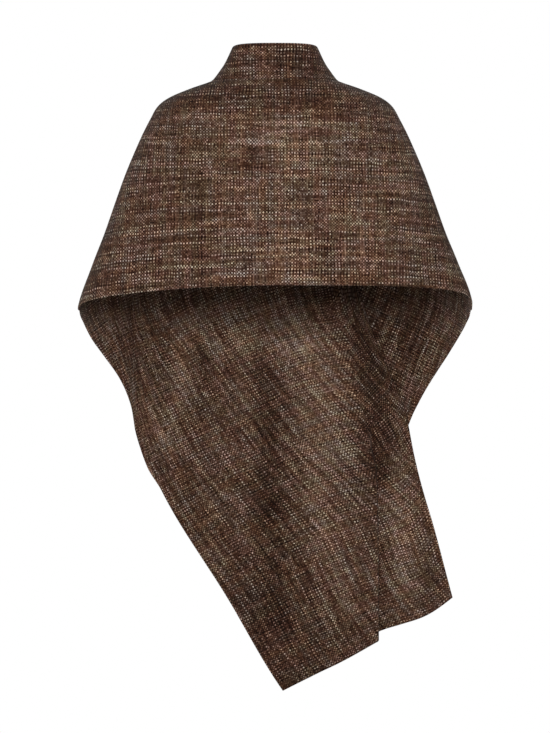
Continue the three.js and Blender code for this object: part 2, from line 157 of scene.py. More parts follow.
# Rings round the cape from the collar's top edge down to the long front's lowest corner.
# level is the place down the cape, and 0 is the neck seam. half_width, back and front are the
# ring's reach from the middle, z_back, z_side and z_front its heights there. square is 2 for an
# ellipse and more for a squarer ring, and square_right is the same for the back's right half.
RING_COLUMNS = [
    "level", "half_width", "back", "front", "z_back", "z_side", "z_front",
    "square", "square_right",
]
RING_ROWS = [
    [-66, 72, 62, 58, 62, 56, 4, 2.8, 2.8],
    [-45, 82.5, 64, 63, 42, 35, -18, 2.5, 2.5],
    [-22, 94, 68, 68, 20, 20, -45, 2.3, 2.3],
    [-8, 103, 72, 74, 7, 8, -64, 2.2, 2.2],
    [0, 110, 75, 78, 0, 2, -75, 2.1, 2.1],
    [15, 145, 83, 88, -19, -10, -95, 2.1, 2.1],
    [35, 181, 90, 99, -42, -25, -117, 2.15, 2.15],
    [55, 201, 95, 108, -63, -40, -136, 2.2, 2.2],
    [80, 214, 100, 117, -87, -62, -156, 2.25, 2.25],
    [110, 230, 104, 126, -115, -94, -178, 2.3, 2.35],
    [150, 254, 108, 136, -150, -150, -208, 2.3, 2.4],
    [205, 274, 112, 146, -198, -205, -248, 2.3, 2.5],
    [260, 293, 114, 151, -246, -260, -291, 2.3, 2.6],
    [315, 314, 116, 152, -293, -315, -334, 2.3, 2.7],
    [391, 339, 117, 150, -352, -391, -396, 2.4, 2.8],
    [460, 343, 117, 147, -424, -460, -460, 2.4, 2.8],
    [540, 346, 117, 142, -504, -540, -540, 2.4, 2.8],
    [650, 362, 117, 136, -614, -650, -650, 2.3, 2.8],
    [780, 412, 117, 128, -744, -780, -780, 2.2, 2.8],
    [920, 478, 117, 121, -884, -920, -920, 2.1, 2.8],
    [1070, 550, 117, 116, -1034, -1070, -1070, 2.0, 2.8],
]

# Seams as angles round the cape: 0 is the middle of the front, 90 the wearer's left side
OVERARM_ANGLE = 84
FRONT_LAP_ANGLE = 18

# Seams and edges as levels, and the power by which rows crowd together towards the neck
COLLAR_TOP = -66
NECK_SEAM = 0
HEM_LEVEL = 391
SHOULDER_CLOSENESS = 1.25

# How a ring climbs from its side height to its middle height
SOFT_CLIMB = 1.7
HEM_CLIMB_LEFT = 0.85
HEM_CLIMB_RIGHT = 1.9
COLLAR_CLIMB = 3.5
HEM_CLIMB_STARTS = 150

# How far the right front and the collar's right end stand out over the left ones, and the
# levels and angles over which that changes
LAP_AT_NECK = 6
LAP_BELOW = 9
LAP_LEVELS = (60, 400)
LAP_ANGLES = (-72, -40)

# Edges of the fronts, x across and z up, from the neck or side to the hem
LEFT_LOWER_EDGE = [
    (338, -399), (333, -414), (320, -442), (299, -473), (275, -509), (256, -555), (246, -609),
    (227, -666), (202, -708), (93, -886), (-14, -1064),
]
LEFT_FREE_EDGE = [
    (-66, -150), (-110, -250), (-147, -352), (-175, -429), (-214, -522), (-237, -592),
    (-277, -750), (-315, -895),
]
LEFT_HEM = [
    (-14, -1064), (-100, -1019), (-178, -969), (-224, -949), (-268, -929), (-315, -895),
]
RIGHT_LOWER_EDGE = [
    (-338, -399), (-333, -414), (-318, -442), (-293, -482), (-267, -524), (-245, -566),
    (-226, -610), (-98, -790),
]
RIGHT_FREE_EDGE = [(66, -150), (108, -250), (147, -352), (178, -440), (222, -603)]
RIGHT_HEM = [(-98, -790), (62, -694), (222, -603)]

# Share of each front's top edge that runs up the overarm and over the shoulder to the neck
LEFT_NECK_SHARE = 0.575
RIGHT_NECK_SHARE = 0.583

# The pleat that stands up from the long front's hem: its line, the levels over which it forms,
# the radius of its two bends, the flat between them, and how far beside it the cloth is lifted
PLEAT_LINE = [(-178, -1100), (-178, -680), (-172, -619), (-160, -540), (-150, -480)]
PLEAT_LEVELS = (570, 685)
PLEAT_BEND = 2.4
PLEAT_FLAT = 6.6
PLEAT_REACH = 110

# The shares of a row between which the pleat is looked for, the farther one of them at the top
# and from PLEAT_SETTLED of the way down. By a strength of PLEAT_BLEND, the pleat's own section
# has taken over from the plain cloth
PLEAT_LEAST_SHARE = 0.3
PLEAT_MOST_SHARES = (0.84, 0.96)
PLEAT_SETTLED = 0.4
PLEAT_BLEND = 0.15

# Soft folds: a line from its top to its bottom, how wide it is to the wearer's left and right
# of that, and as amount, how far it stands in towards the wearer, or out where negative
BAND_COLUMNS = ["x_top", "z_top", "x_bottom", "z_bottom", "left", "right", "amount"]
LEFT_FOLDS = [
    [-124, -340, -186, -680, 75, 34, 20],
    [-182, -660, -182, -1100, 85, 220, 12],
    [41, -360, 45, -780, 60, 24, 9],
    [50, -800, 58, -1000, 40, 46, 9],
    [132, -400, 188, -600, 18, 40, 7],
]
RIGHT_FOLDS = [
    [-252, -330, -200, -640, 40, 26, -5],
    [-60, -300, 10, -700, 30, 50, -7],
    [90, -330, 130, -620, 26, 38, -5],
]
BACK_FOLDS = [
    [128, -120, 134, -360, 26, 26, -4],
    [-112, -130, -118, -330, 24, 24, -3],
    [-248, -170, -262, -360, 24, 24, 5],
]

# Creases that are finer than the folds above, of both fronts and of the back
FRONT_CREASES = [
    [-78, -330, -112, -640, 52, 44, 12],
    [14, -380, 2, -780, 26, 30, -8],
    [150, -330, 190, -560, 24, 20, 6],
    [108, -430, 150, -760, 22, 30, -5],
    [-212, -700, -236, -980, 30, 26, 6],
    [-60, -700, -84, -1010, 46, 34, 6],
    [84, -600, 96, -900, 20, 26, 4],
    [-20, -840, -40, -1060, 22, 20, -4],
]
BACK_CREASES = [
    [160, -150, 166, -370, 26, 16, -3],
    [60, -240, 54, -370, 30, 22, -2.5],
    [-30, -180, -24, -300, 34, 40, 2],
    [-90, -200, -96, -370, 18, 16, -2.5],
    [-190, -170, -206, -350, 24, 18, -3],
    [232, -230, 250, -380, 22, 18, 2.5],
]

# Where folds fade out: over this height at each end, over these levels up to the shoulders, and
# towards the side seams, from where the angle's cosine is this
FOLD_FADE = 70
FOLD_LEVELS = (90, 240)
FOLD_SEAM_COSINE = 0.35

# Stretches of cloth drawn paler, or darker where amount is negative. Some are yarns dyed so, and
# the rest are painted light and shade: the lit and shaded flanks of folds, painted shadow in the
# fronts' inner corners and beside the pleat, painted light that softens the shadow under the
# back's hem and a paler middle of the back. The fronts' last row is painted shade that makes them
# a little darker all over
FRONT_DYE_AND_PAINTED_LIGHT = [
    [-46, -420, -84, -560, 36, 46, 0.2],
    [-84, -560, -84, -700, 44, 50, 0.12],
    [-66, -700, -132, -930, 32, 50, 0.13],
    [12, -480, 4, -760, 26, 22, -0.12],
    [6, -720, -6, -960, 40, 30, -0.12],
    [40, -880, -20, -1080, 80, 90, -0.08],
    [-160, -420, -186, -690, 28, 44, -0.17],
    [-214, -640, -230, -900, 22, 28, 0.16],
    [150, -390, 192, -640, 20, 20, 0.12],
    [122, -440, 118, -560, 14, 12, -0.08],
    [-244, -400, -246, -480, 30, 30, -0.12],
    [262, -420, 250, -520, 34, 40, -0.08],
    [50, -350, 20, -480, 100, 90, 0.1],
    [40, -480, 30, -700, 40, 40, 0.04],
    [-60, -390, -60, -1060, 500, 500, -0.035],
]
BACK_DYE_AND_PAINTED_LIGHT = [
    [125, -150, 127, -345, 16, 14, -0.09],
    [205, -215, 212, -350, 24, 18, -0.04],
    [-96, -260, -88, -340, 18, 14, -0.1],
    [-112, -170, -112, -240, 14, 14, -0.06],
    [-140, -220, -140, -290, 26, 20, 0.06],
    [-255, -190, -275, -350, 20, 26, -0.04],
    [-30, -60, -30, -125, 60, 50, 0.12],
    [10, -150, 0, -340, 70, 70, 0.04],
    [-76, -180, -66, -250, 20, 20, 0.05],
    [-104, -230, -100, -340, 14, 24, 0.05],
    [-190, -120, -200, -200, 40, 30, 0.05],
]
# How far, in millimetres, the ends of those stretches of dye and of painted light and shade fade
# out
TONE_BAND_FADE = 30

# Painted shade: the back's cloth is drawn darker above these levels, over the shoulders
YOKE_LEVELS = (48, 64)
YOKE_PAINTED_SHADE = -0.06

# Small steps that slopes are measured over, and how many rounds a search takes
SMALL_ANGLE = 0.05
SMALL_LEVEL = 0.2
SMALL_SHARE = 0.005
SEARCH_ROUNDS = 30

# Mesh steps, down and across each piece. An edge is rounded in EDGE_ROUNDING steps, and the next
# row or column lies EDGE_CLEARANCE of its radii or more from it
BACK_STEPS = (110, 260)
LEFT_ROWS = 230
LEFT_NEAR_STEPS = 110
LEFT_FAR_STEPS = 36
PLEAT_ARC_STEPS = 6
PLEAT_FLAT_STEPS = 3
RIGHT_STEPS = (190, 150)
COLLAR_STEPS = (28, 230)
EDGE_ROUNDING = 3
EDGE_CLEARANCE = 1.3

# The fronts' weave: how wide each band is at its hem, how much further its yarns spread apart
# above that, and how its weft leans: how steeply, and from how far above the hem
LEFT_BAND_WIDTH = 400
RIGHT_BAND_WIDTH = 380
WEAVE_SPREADS = 40
LEFT_LEAN = (0.17, 330)
RIGHT_LEAN = (0.3, 60)

# The levels over which the back's weft goes over from level rows to rows that follow the rings
WEFT_FOLLOWS_RINGS = (60, 200)

# Each piece: its material slot and thickness, where its weave starts, in millimetres, so that no
# two pieces share their yarns, and its size, area and rests as a flat sheet, in metres
PIECES = {
    "back": {
        "slot": "tweed", "thickness": CLOTH_THICKNESS, "weave_start": 0,
        "flat": (0.90, 0.42), "area": 0.247, "rests_on": ["collar"],
    },
    "front_left": {
        "slot": "tweed", "thickness": CLOTH_THICKNESS, "weave_start": 3000,
        "flat": (0.68, 1.15), "area": 0.44, "rests_on": ["collar"],
    },
    "front_right": {
        "slot": "tweed", "thickness": CLOTH_THICKNESS, "weave_start": 6000,
        "flat": (0.68, 0.85), "area": 0.31, "rests_on": ["collar", "front_left"],
    },
    "collar": {
        "slot": "collar_tweed", "thickness": COLLAR_THICKNESS, "weave_start": 9000,
        "flat": (0.62, 0.08), "area": 0.041, "rests_on": [],
    },
}


def ease(a, b, x):
    """A number that runs smoothly from 0 to 1 as x goes from a to b."""
    t = np.clip((x - a) / (b - a), 0, 1)
    return t * t * (3 - 2 * t)


def mix(a, b, share):
    return a + (b - a) * share


def smooth_through(places, values):
    """A smooth curve through values at places: cubic pieces, sloped by their neighbours."""
    places = np.asarray(places, float)
    values = np.asarray(values, float)
    steps = np.arange(len(places))
    before = np.maximum(steps - 1, 0)
    after = np.minimum(steps + 1, len(places) - 1)
    slopes = (values[after] - values[before]) / (places[after] - places[before])

    def at(x):
        i = np.clip(np.searchsorted(places, x) - 1, 0, len(places) - 2)
        span = places[i + 1] - places[i]
        t = (x - places[i]) / span
        rise = t * t * (3 - 2 * t)
        from_start = span * slopes[i] * t * (1 - t) ** 2
        from_end = span * slopes[i + 1] * t * t * (t - 1)
        return values[i] * (1 - rise) + values[i + 1] * rise + from_start + from_end

    return at


def ring_functions():
    """One smooth function of level for each column of the rings."""
    columns = np.array(RING_ROWS, float).T
    levels = columns[0]
    return {name: smooth_through(levels, column) for name, column in zip(RING_COLUMNS, columns)}


ring = ring_functions()


def ring_climb(angle, level, away):
    """How much of the way from its side height to its middle height a ring has come."""
    soft = away ** SOFT_CLIMB
    hem_climb = np.where(np.sin(angle) > 0, HEM_CLIMB_LEFT, HEM_CLIMB_RIGHT)
    climb = np.where(level > NECK_SEAM, hem_climb, COLLAR_CLIMB)
    at_once = 1 - (1 - away) ** climb
    share = ease(HEM_CLIMB_STARTS, HEM_LEVEL, level) + ease(NECK_SEAM, COLLAR_TOP, level)
    return np.where(np.cos(angle) > 0, soft, mix(soft, at_once, share))


def body_point(angle_degrees, level):
    """A point on the cape's plain form, before folds."""
    angle = np.radians(angle_degrees)
    s = np.sin(angle)
    c = np.cos(angle)
    is_front = c > 0
    is_back_right = ~is_front & (s < 0)
    square = np.where(is_back_right, ring["square_right"](level), ring["square"](level))
    size = (np.abs(s) ** square + np.abs(c) ** square) ** (1 / square)
    depth = np.where(is_front, ring["front"](level), ring["back"](level))
    z_middle = np.where(is_front, ring["z_front"](level), ring["z_back"](level))
    z_side = ring["z_side"](level)
    x = ring["half_width"](level) * s / size
    y = -depth * c / size
    z = mix(z_side, z_middle, ring_climb(angle, level, np.minimum(np.abs(c), 1)))
    return np.stack([x, y, z], axis=-1)


def outward(surface, angle, level):
    """The direction out of a surface, given as a function of angle and level."""
    around = surface(angle + SMALL_ANGLE, level) - surface(angle - SMALL_ANGLE, level)
    down = surface(angle, level + SMALL_LEVEL) - surface(angle, level - SMALL_LEVEL)
    out = np.cross(down, around)
    return out / np.linalg.norm(out, axis=-1, keepdims=True)


def front_place(x, z):
    """The angle and level of the front's point that shows at x and z."""
    level = -z
    angle = np.zeros_like(x)
    for _ in range(SEARCH_ROUNDS):
        share = np.minimum(np.abs(x) / ring["half_width"](level), 1)
        square = ring["square"](level)
        forward = (1 - share ** square) ** (1 / square)
        angle = np.degrees(np.sign(x) * np.arctan2(share, forward))
        level = level + body_point(angle, level)[..., 2] - z
    return angle, level


def soft_bands(rows, fade, x, z):
    """The sum at x and z of the amounts of some soft-edged bands, whose ends fade out too."""
    total = np.zeros_like(x)
    for row in rows:
        band = dict(zip(BAND_COLUMNS, row))
        down = (band["z_top"] - z) / (band["z_top"] - band["z_bottom"])
        aside = x - mix(band["x_top"], band["x_bottom"], down)
        across = aside / np.where(aside > 0, band["left"], band["right"])
        start = ease(band["z_top"] + fade, band["z_top"] - fade, z)
        end = ease(band["z_bottom"] - fade, band["z_bottom"] + fade, z)
        total = total + band["amount"] * np.exp(-across * across) * start * end
    return total


def dye_and_painted_light_at(points, bands, level=HEM_LEVEL):
    """How much paler than the rest the cloth is drawn at each point, by dyed yarns and by painted
    light and shade. A piece gives its levels where it has the yoke's painted shade."""
    in_bands = soft_bands(bands, TONE_BAND_FADE, points[..., 0], points[..., 2])
    return in_bands + YOKE_PAINTED_SHADE * (1 - ease(*YOKE_LEVELS, level))


def folded(folds):
    """The cape's form with a set of folds, which die away towards shoulders and side seams."""
    at_seam = math.cos(math.radians(OVERARM_ANGLE))

    def surface(angle, level):
        point = body_point(angle, level)
        away = ease(at_seam, FOLD_SEAM_COSINE, np.abs(np.cos(np.radians(angle))))
        share = ease(*FOLD_LEVELS, level) * away
        depth = share * soft_bands(folds, FOLD_FADE, point[..., 0], point[..., 2])
        return point - outward(body_point, angle, level) * depth[..., None]

    return surface


def lap_out(angle, level):
    """How far the right-hand side of the wrap stands out over the left."""
    lap = mix(LAP_AT_NECK, LAP_BELOW, ease(*LAP_LEVELS, level))
    return lap * ease(*LAP_ANGLES, angle)


left_surface = folded(LEFT_FOLDS + FRONT_CREASES)
back_surface = folded(BACK_FOLDS + BACK_CREASES)
right_under = folded(LEFT_FOLDS + FRONT_CREASES + RIGHT_FOLDS)


def right_surface(angle, level):
    """The right front lies on the left one, so it takes its folds and has its own beside it."""
    lap = lap_out(angle, level)[..., None]
    return right_under(angle, level) + outward(body_point, angle, level) * lap


def collar_surface(angle, level):
    """The collar's right end laps over its left end."""
    lap = lap_out(angle - 360, level)[..., None]
    return body_point(angle, level) + outward(body_point, angle, level) * lap


def seam_level(share):
    """The level at a share of the way down a side seam."""
    return HEM_LEVEL * share ** SHOULDER_CLOSENESS


def edge_through(angles, levels):
    """A smooth edge through places, followed evenly as t goes from 0 to 1."""
    spots = body_point(angles, levels)
    lengths = np.linalg.norm(np.diff(spots, axis=0), axis=1)
    shares = np.concatenate([[0], np.cumsum(lengths) / lengths.sum()])
    angle = smooth_through(shares, angles)
    level = smooth_through(shares, levels)
    return lambda t: np.stack([angle(t), level(t)])


def front_patch(side, lower_edge, free_edge, hem_edge, neck_share):
    """A front panel between its four edges. across goes from the lower edge to the free front
    edge, and down goes from the seams at the side, shoulder and neck to the hem."""

    def start(across):
        up_seam = np.clip(across / neck_share, 0, 1)
        along_neck = np.clip((across - neck_share) / (1 - neck_share), 0, 1)
        angle = side * mix(OVERARM_ANGLE, -FRONT_LAP_ANGLE, along_neck)
        return np.stack([angle, seam_level(1 - up_seam)])

    def edge(points, first=None):
        x, z = np.array(points, float).T
        angle, level = front_place(x, z)
        if first is not None:
            angle = np.concatenate([[first[0]], angle])
            level = np.concatenate([[first[1]], level])
        return edge_through(angle, level)

    low_start = start(np.array(0.0))
    free_start = start(np.array(1.0))
    lower = edge(lower_edge, low_start)
    free = edge(free_edge, free_start)
    hem = edge(hem_edge)
    low_end = hem(np.array(0.0))
    free_end = hem(np.array(1.0))

    def patch(across, down):
        across, down = np.broadcast_arrays(across, down)
        corner = (slice(None),) + (None,) * across.ndim
        from_low = lower(down) - mix(low_start[corner], low_end[corner], down)
        from_free = free(down) - mix(free_start[corner], free_end[corner], down)
        return mix(start(across), hem(across), down) + mix(from_low, from_free, across)

    return patch


def pleat_section(strength):
    """The pleat's section: points along the row and out of it, from the near layer to the far
    one, with the angle that the cloth has turned through. Nothing turns where strength is 0."""
    arc = math.pi * PLEAT_BEND / PLEAT_ARC_STEPS
    flat = PLEAT_FLAT / PLEAT_FLAT_STEPS
    arcs = [arc] * PLEAT_ARC_STEPS
    lengths = np.array(arcs + [flat] * PLEAT_FLAT_STEPS + arcs)
    signs = [1] * PLEAT_ARC_STEPS + [0] * PLEAT_FLAT_STEPS + [-1] * PLEAT_ARC_STEPS
    turning = math.pi * strength / PLEAT_ARC_STEPS * np.array(signs)
    zero = np.zeros_like(strength)
    turn = np.concatenate([zero, np.cumsum(turning, axis=1)], axis=1)
    middle = turn[:, :-1] + turning / 2

    def walk(steps):
        return np.concatenate([zero, np.cumsum(steps, axis=1)], axis=1)

    along = walk(lengths * np.cos(middle))
    lift = walk(-lengths * np.sin(middle))
    walked = walk(np.broadcast_to(lengths, middle.shape))
    return {
        "along": along - along[:, -1:] / 2,
        "lift": lift - lift[:, -1:],
        "turn": turn,
        "walked": walked - walked[:, -1:] / 2,
    }


def pleat_line_x(z):
    line_x, line_z = np.array(PLEAT_LINE, float).T
    return smooth_through(line_z, line_x)(z)


def pleat_across(patch, down):
    """Where a row of the left front meets the pleat's line."""
    low = np.full_like(down, PLEAT_LEAST_SHARE)
    high = mix(*PLEAT_MOST_SHARES, ease(0, PLEAT_SETTLED, down))
    for _ in range(SEARCH_ROUNDS):
        middle = (low + high) / 2
        point = body_point(*patch(middle, down))
        is_before = point[..., 0] > pleat_line_x(point[..., 2])
        low = np.where(is_before, middle, low)
        high = np.where(is_before, high, middle)
    return (low + high) / 2


def beside_pleat(is_near, slope):
    """One side of the pleat: the near layer is lifted in towards the wearer, and each layer's
    rows slide down or up as the cloth folds."""

    def surface(angle, level):
        point = left_surface(angle, level)
        strength = ease(*PLEAT_LEVELS, level)
        section = pleat_section(strength.reshape(-1, 1))
        start = {key: value[:, 0].reshape(strength.shape) for key, value in section.items()}
        distance = np.abs(point[..., 0] - pleat_line_x(point[..., 2]))
        share = 1 - ease(0, PLEAT_REACH, distance)
        slide = slope * (start["along"] - start["walked"]) * share
        point[..., 2] += -slide if is_near else slide
        lift = start["lift"] * share if is_near else np.zeros_like(share)
        return point - outward(body_point, angle, level) * lift[..., None]

    return surface


def left_front_grid():
    """Rows of points and of the directions out of the cloth: the near layer, the pleat and the
    far layer."""
    patch = front_patch(1, LEFT_LOWER_EDGE, LEFT_FREE_EDGE, LEFT_HEM, LEFT_NECK_SHARE)
    down = np.linspace(0, 1, LEFT_ROWS + 1)[:, None]
    across = pleat_across(patch, down)
    middle = left_surface(*patch(across, down))
    before = left_surface(*patch(across - SMALL_SHARE, down))
    after = left_surface(*patch(across + SMALL_SHARE, down))
    step = after - before
    sideways = step * [1, 1, 0]
    length = np.linalg.norm(sideways, axis=-1, keepdims=True)
    slope = step[..., 2] / length[..., 0]
    per_across = length[..., 0] / (2 * SMALL_SHARE)
    sideways = sideways / length
    inward = np.stack([sideways[..., 1], -sideways[..., 0], 0 * slope], axis=-1)
    level = patch(across, down)[1]
    strength = ease(*PLEAT_LEVELS, level)
    section = pleat_section(strength)
    near_end = across + section["along"][:, :1] / per_across
    far_start = across + section["along"][:, -1:] / per_across
    near = beside_pleat(True, slope)
    far = beside_pleat(False, slope)
    near_share = np.arange(LEFT_NEAR_STEPS) / LEFT_NEAR_STEPS
    far_share = np.arange(1, LEFT_FAR_STEPS + 1) / LEFT_FAR_STEPS
    near_place = patch(near_end * near_share, down)
    far_place = patch(mix(far_start, 1, far_share), down)
    plain_place = patch(across + section["along"] / per_across, down)
    walked = middle + sideways * section["along"][..., None] + inward * section["lift"][..., None]
    walked[..., 2] += slope * section["walked"]
    turn = section["turn"][..., None]
    walked_out = -inward * np.cos(turn) - sideways * np.sin(turn)
    share = ease(0, PLEAT_BLEND, strength)[..., None]
    pleat = mix(far(*plain_place), walked, share)
    pleat_out = mix(outward(far, *plain_place), walked_out, share)
    pleat_out /= np.linalg.norm(pleat_out, axis=-1, keepdims=True)
    points = np.concatenate([near(*near_place), pleat, far(*far_place)], axis=1)
    outs = [outward(near, *near_place), pleat_out, outward(far, *far_place)]
    return points[:, ::-1], np.concatenate(outs, axis=1)[:, ::-1]


def right_front_grid():
    patch = front_patch(-1, RIGHT_LOWER_EDGE, RIGHT_FREE_EDGE, RIGHT_HEM, RIGHT_NECK_SHARE)
    down = np.linspace(0, 1, RIGHT_STEPS[0] + 1)[:, None]
    across = np.linspace(0, 1, RIGHT_STEPS[1] + 1)[None, :]
    place = patch(across, down)
    return right_surface(*place), outward(right_surface, *place)


def back_levels():
    return seam_level(np.linspace(0, 1, BACK_STEPS[0] + 1))[:, None]


def back_grid():
    angle = np.linspace(OVERARM_ANGLE, 360 - OVERARM_ANGLE, BACK_STEPS[1] + 1)[None, :]
    angle, level = np.broadcast_arrays(angle, back_levels())
    return back_surface(angle, level), outward(back_surface, angle, level)


def collar_levels():
    return np.linspace(COLLAR_TOP, NECK_SEAM, COLLAR_STEPS[0] + 1)[:, None]


def collar_grid():
    angle = np.linspace(-FRONT_LAP_ANGLE, 360 + FRONT_LAP_ANGLE, COLLAR_STEPS[1] + 1)[None, :]
    angle, level = np.broadcast_arrays(angle, collar_levels())
    return collar_surface(angle, level), outward(collar_surface, angle, level)


def weft_along_columns(points, band_width, lower_edge_first, lean, lean_from):
    """Weave coordinates for a front, whose weft runs down the columns: how far along the weft
    from the hem, and how far across it from the lower edge. Rows wider than the band at the
    hem spread its yarns a little, and the widest ones have more of them. Above lean_from the
    weft leans away from the lower edge."""
    down = np.linalg.norm(np.diff(points, axis=0), axis=-1)
    below = np.concatenate([np.cumsum(down[::-1], axis=0)[::-1], np.zeros_like(down[:1])])
    across = np.linalg.norm(np.diff(points, axis=1), axis=-1)
    from_first = np.concatenate([np.zeros_like(across[:, :1]), np.cumsum(across, axis=1)], axis=1)
    width = from_first[:, -1:]
    from_lower = from_first if lower_edge_first else width - from_first
    spread = np.clip(width - band_width, 0, WEAVE_SPREADS)
    leaning = lean * np.maximum(below - lean_from, 0) * ease(lean_from, 2 * lean_from, below)
    return np.stack([-below, from_lower * (width - spread) / width - leaning], axis=-1)


def weft_round_rings(points, level):
    """Weave coordinates for the back and the collar, whose weft runs round the cape."""
    across = np.linalg.norm(np.diff(points, axis=1), axis=-1)
    along = np.concatenate([np.zeros_like(across[:, :1]), np.cumsum(across, axis=1)], axis=1)
    middle = points.shape[1] // 2
    line = points[:, middle]
    drop = np.concatenate([[0], np.cumsum(np.linalg.norm(np.diff(line, axis=0), axis=1))])
    height = np.interp(-points[..., 2], -line[:, 2], drop)
    by_ring = np.broadcast_to(drop[:, None], height.shape)
    on_rings = ease(*WEFT_FOLLOWS_RINGS, level)
    return np.stack([along - along[:, middle:middle + 1], mix(height, by_ring, on_rings)], axis=-1)


def edge_rows(lengths, radius):
    """Row places that round both ends of a grid: each place, and how thick the cloth is there."""
    turns = np.linspace(0, math.pi / 2, EDGE_ROUNDING + 1)
    marks = radius * (1 - np.cos(turns))
    thick = np.sin(turns)
    count = np.arange(len(lengths))
    first = np.interp(marks, lengths, count)
    last = np.interp(lengths[-1] - marks, lengths, count)[::-1]
    clear = EDGE_CLEARANCE * radius
    inner = count[(lengths > clear) & (lengths < lengths[-1] - clear)]
    places = np.concatenate([first, inner, last])
    return places, np.concatenate([thick, np.ones(len(inner)), thick[::-1]])


def sampled(grid, places, axis):
    """A grid's rows or columns at places between its own."""
    grid = np.moveaxis(grid, axis, 0)
    low = np.minimum(places.astype(int), len(grid) - 2)
    share = (places - low).reshape((-1,) + (1,) * (grid.ndim - 1))
    return np.moveaxis(mix(grid[low], grid[low + 1], share), 0, axis)


def mean_lengths(points, axis):
    steps = np.linalg.norm(np.diff(points, axis=axis), axis=-1).mean(axis=1 - axis)
    return np.concatenate([[0], np.cumsum(steps)])


def sheet_faces(rows, columns):
    """Faces of a sheet's outer and inner side, which share the points along its edges."""
    outer = np.arange(rows * columns).reshape(rows, columns)
    inner = outer.copy()
    within = (rows - 2, columns - 2)
    inner[1:-1, 1:-1] = rows * columns + np.arange(within[0] * within[1]).reshape(within)
    outer_faces = [outer[:-1, :-1], outer[1:, :-1], outer[1:, 1:], outer[:-1, 1:]]
    inner_faces = [inner[:-1, :-1], inner[:-1, 1:], inner[1:, 1:], inner[1:, :-1]]
    sides = [np.stack(side, axis=-1).reshape(-1, 4) for side in (outer_faces, inner_faces)]
    return np.concatenate(sides)


def both_sides(outer, inner):
    """Values for a sheet's points: its whole outer side, then its inner side within the edges."""
    count = outer.shape[-1]
    return np.concatenate([outer.reshape(-1, count), inner[1:-1, 1:-1].reshape(-1, count)])


def cloth_object(name, points, outs, weave, dye_and_painted_light, thickness):
    """A closed sheet of cloth with rounded edges, from a grid of middle points, the directions
    out of the cloth, the weave coordinates and how much paler the cloth is drawn there, by dyed
    yarns and by painted light and shade."""
    radius = thickness / 2
    row_places, row_thick = edge_rows(mean_lengths(points, 0), radius)
    column_places, column_thick = edge_rows(mean_lengths(points, 1), radius)
    layers = [points, outs, weave, dye_and_painted_light[..., None]]
    for axis, places in enumerate((row_places, column_places)):
        layers = [sampled(layer, places, axis) for layer in layers]
    points, outs, weave, dye_and_painted_light = layers
    half = (radius * np.minimum.outer(row_thick, column_thick))[..., None]
    vertices = both_sides(points + outs * half, points - outs * half) * MM
    faces = sheet_faces(*points.shape[:2])
    mesh = bpy.data.meshes.new(name)
    mesh.from_pydata(vertices.tolist(), [], faces.tolist())
    corner_weave = (both_sides(weave, weave) * MM)[faces.ravel()]
    layer = mesh.uv_layers.new(name="weave")
    layer.data.foreach_set("uv", corner_weave.astype(np.float32).ravel())
    dye_and_painted_light_values = mesh.attributes.new("dye_and_painted_light", "FLOAT", "POINT")
    dye_and_painted_light_values.data.foreach_set("value", both_sides(dye_and_painted_light, dye_and_painted_light).astype(np.float32).ravel())
    mesh.polygons.foreach_set("use_smooth", [True] * len(faces))
    piece = bpy.data.objects.new(name, mesh)
    bpy.context.collection.objects.link(piece)
    return piece


class Nodes:
    """Short words for making a material's nodes."""

    def __init__(self, material):
        material.use_nodes = True
        self.tree = material.node_tree
        self.tree.nodes.clear()

    def add(self, kind, values=(), **settings):
        """A node with some settings, and values or links for its inputs by name or number."""
        node = self.tree.nodes.new(kind)
        for key, setting in settings.items():
            setattr(node, key, setting)
        for key, value in dict(values).items():
            if isinstance(value, bpy.types.NodeSocket):
                self.tree.links.new(value, node.inputs[key])
            else:
                node.inputs[key].default_value = value
        return node

    def math(self, operation, *values):
        return self.add("ShaderNodeMath", enumerate(values), operation=operation).outputs[0]

    def sum(self, first, *others):
        for other in others:
            first = self.math("ADD", first, other)
        return first

    def vector(self, x, y, z):
        return self.add("ShaderNodeCombineXYZ", {"X": x, "Y": y, "Z": z}).outputs[0]

    def noise(self, vector, detail=0.0):
        """A noise from about 0 to 1, whose bumps are about one unit of vector across."""
        values = {"Vector": vector, "Scale": 1.0, "Detail": detail}
        return self.add("ShaderNodeTexNoise", values).outputs["Fac"]

    def range(self, value, low, high):
        """A number that runs smoothly from 0 to 1 as a value goes from low to high."""
        values = {"Value": value, "From Min": low, "From Max": high}
        node = self.add("ShaderNodeMapRange", values, interpolation_type="SMOOTHSTEP")
        return node.outputs["Result"]

    def blend(self, factor, a, b, kind="MIX"):
        """Two colours mixed by a factor."""
        node = self.add("ShaderNodeMix", data_type="RGBA", blend_type=kind)
        for key, value in ((0, factor), (6, a), (7, b)):
            if isinstance(value, bpy.types.NodeSocket):
                self.tree.links.new(value, node.inputs[key])
            else:
                node.inputs[key].default_value = value
        return node.outputs[2]

    def ramp(self, factor, stops):
        """A colour for each place along a ramp."""
        node = self.add("ShaderNodeValToRGB", {"Fac": factor})
        points = node.color_ramp.elements
        while len(points) < len(stops):
            points.new(0.5)
        for point, (place, color) in zip(points, stops):
            point.position = place
            point.color = color
        return node.outputs["Color"]


def yarn_tone(nodes, along, index, yarns_seed, paleness, contrast):
    """How pale a yarn is at a place along it."""

    def variation(length, step, detail, seed, amount):
        place = nodes.vector(nodes.math("MULTIPLY", along, 1 / length),
                             nodes.math("MULTIPLY", index, step), yarns_seed + seed)
        noise = nodes.math("SUBTRACT", nodes.noise(place, detail), 0.5)
        return nodes.math("MULTIPLY", noise, contrast * amount)

    return nodes.sum(*[variation(**row) for row in YARN_VARIATIONS], paleness)


